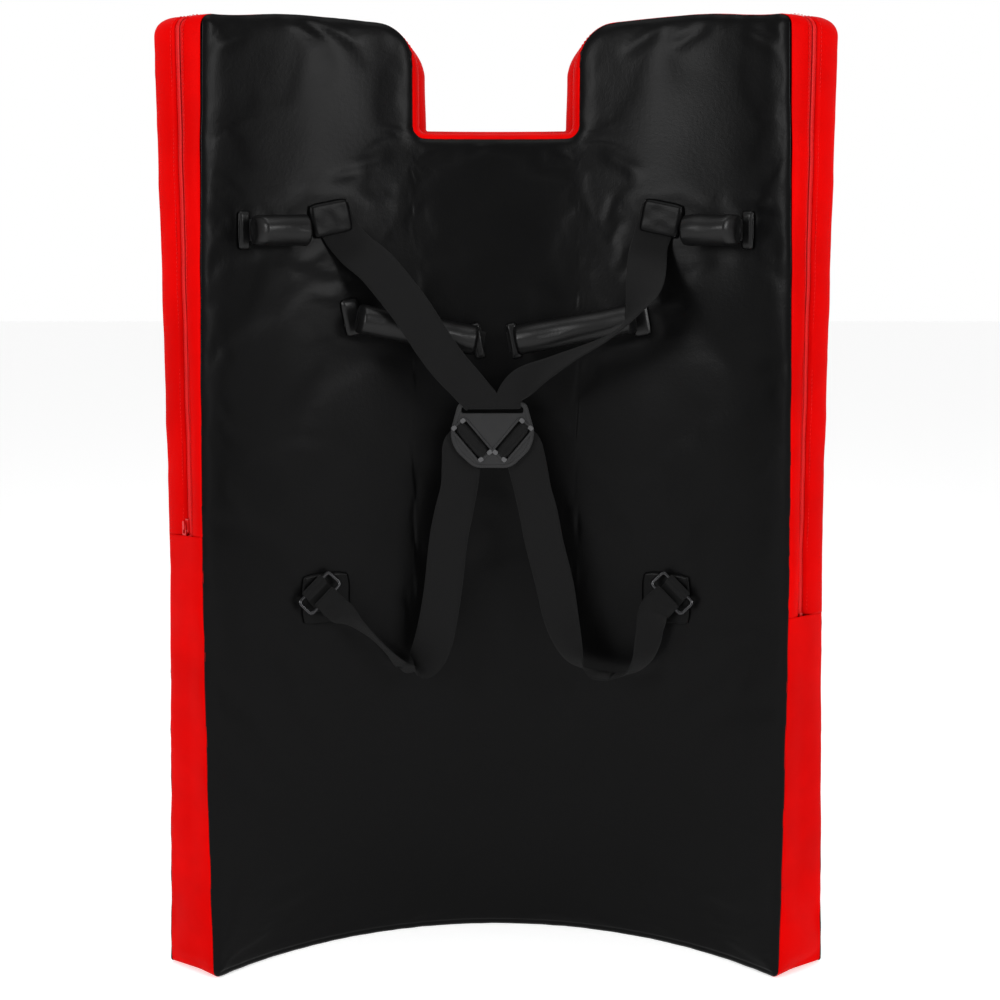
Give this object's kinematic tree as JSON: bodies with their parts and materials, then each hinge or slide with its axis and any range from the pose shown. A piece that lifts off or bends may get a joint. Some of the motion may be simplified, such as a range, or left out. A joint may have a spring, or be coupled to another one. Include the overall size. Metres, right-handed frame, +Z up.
{
  "type": "kick shield",
  "caption": "Tall curved kick shield: foam pad bent to the body in a zipped cover, neck notch in the top edge, padded grips and a webbing harness with a yoke plate on the hollow side.",
  "frame": {"origin": "on the ground, under the middle of the shield's bounding box", "axes": "+Z up along the shield's height, +Y out of the striking face, -Y towards the person who holds it, +X to that person's right as the hollow side is looked at"},
  "size_m": [0.638, 0.1864, 0.922],
  "materials": {
    "rear_cover_pu": "glossy coated",
    "front_cover_pu": "glossy coated",
    "gusset_pu": "glossy coated",
    "zip_tape": "woven",
    "zip_coil": "satin",
    "zip_metal": "polished",
    "pe_foam": "closed cell",
    "eva_foam": "closed cell",
    "grip_pu": "glossy coated",
    "grip_foam": "closed cell",
    "webbing": "woven",
    "yoke_plastic": "moulded",
    "ring_metal": "polished"
  },
  "bodies": {
    "root": {"anchor_loop_left": "webbing", "anchor_loop_right": "webbing", "anchor_patch_left": "rear_cover_pu", "anchor_patch_right": "rear_cover_pu", "bottom_gusset": "gusset_pu", "core_foam_block": "pe_foam", "front_panel": "front_cover_pu", "inner_left_grip_tabs": "grip_pu", "inner_right_grip_tabs": "grip_pu", "lower_gusset_left": "gusset_pu", "lower_gusset_right": "gusset_pu", "rear_foam_sheet": "pe_foam", "rear_panel": "rear_cover_pu", "shoulder_patch_left": "rear_cover_pu", "shoulder_patch_right": "rear_cover_pu", "striking_foam_sheet": "eva_foam", "upper_gusset_front": "gusset_pu", "upper_gusset_rear": "gusset_pu", "upper_left_grip_tabs": "grip_pu", "upper_right_grip_tabs": "grip_pu", "zip_coil": "zip_coil", "zip_end_stops": "zip_metal", "zip_tape_front": "zip_tape", "zip_tape_rear": "zip_tape"},
    "upper_left_grip": {"upper_left_grip_sleeve": "grip_pu", "upper_left_grip_foam": "grip_foam", "upper_left_grip_strap": "webbing"},
    "upper_right_grip": {"upper_right_grip_sleeve": "grip_pu", "upper_right_grip_foam": "grip_foam", "upper_right_grip_strap": "webbing"},
    "inner_left_grip": {"inner_left_grip_sleeve": "grip_pu", "inner_left_grip_foam": "grip_foam", "inner_left_grip_strap": "webbing"},
    "inner_right_grip": {"inner_right_grip_sleeve": "grip_pu", "inner_right_grip_foam": "grip_foam", "inner_right_grip_strap": "webbing"},
    "slider": {"zip_slider": "zip_metal"},
    "puller": {"zip_puller": "zip_metal"},
    "left_ring": {"ring_left": "ring_metal"},
    "right_ring": {"ring_right": "ring_metal"},
    "harness": {"yoke_plate": "yoke_plastic", "shoulder_strap": "webbing", "waist_strap_left": "webbing", "waist_strap_right": "webbing"}
  },
  "joints": [
    {"name": "upper_left_grip_swing", "type": "hinge", "parent": "root", "child": "upper_left_grip", "pos_m": [-0.20877, -0.04505, 0.721], "axis": [-0.8184, -0.5747, 0], "range_deg": [-25, 25], "stiffness_Nm_per_rad": 0.6, "deforming": ["upper_left_grip_strap"]},
    {"name": "upper_right_grip_swing", "type": "hinge", "parent": "root", "child": "upper_right_grip", "pos_m": [0.20877, -0.04505, 0.721], "axis": [0.8184, -0.5747, 0], "range_deg": [-25, 25], "stiffness_Nm_per_rad": 0.6, "deforming": ["upper_right_grip_strap"]},
    {"name": "inner_left_grip_swing", "type": "hinge", "parent": "root", "child": "inner_left_grip", "pos_m": [-0.07913, 0.00819, 0.62575], "axis": [-0.9581, -0.2138, 0.1907], "range_deg": [-25, 25], "stiffness_Nm_per_rad": 0.6, "deforming": ["inner_left_grip_strap"]},
    {"name": "inner_right_grip_swing", "type": "hinge", "parent": "root", "child": "inner_right_grip", "pos_m": [0.07913, 0.00819, 0.62575], "axis": [0.9581, -0.2138, 0.1907], "range_deg": [-25, 25], "stiffness_Nm_per_rad": 0.6, "deforming": ["inner_right_grip_strap"]},
    {"name": "zip_slide", "type": "slide", "parent": "root", "child": "slider", "axis": [0, 0, 1], "range_m": [0, 0.43]},
    {"name": "zip_puller_flip", "type": "hinge", "parent": "slider", "child": "puller", "pos_m": [-0.29566, -0.07134, 0.444], "axis": [-0.7349, 0.6782, 0], "range_deg": [0, 150]},
    {"name": "left_ring_swing", "type": "hinge", "parent": "root", "child": "left_ring", "pos_m": [-0.179, -0.03073, 0.375], "axis": [-0.6577, -0.3701, -0.6561], "range_deg": [-20, 140]},
    {"name": "right_ring_swing", "type": "hinge", "parent": "root", "child": "right_ring", "pos_m": [0.179, -0.03073, 0.375], "axis": [-0.6577, 0.3701, 0.6561], "range_deg": [-20, 140]},
    {"name": "harness_swing", "type": "hinge", "parent": "root", "child": "harness", "pos_m": [0, -0.01584, 0.722], "axis": [-1, 0, 0], "range_deg": [0, 55], "deforming": ["shoulder_strap", "waist_strap_left", "waist_strap_right"]}
  ]
}
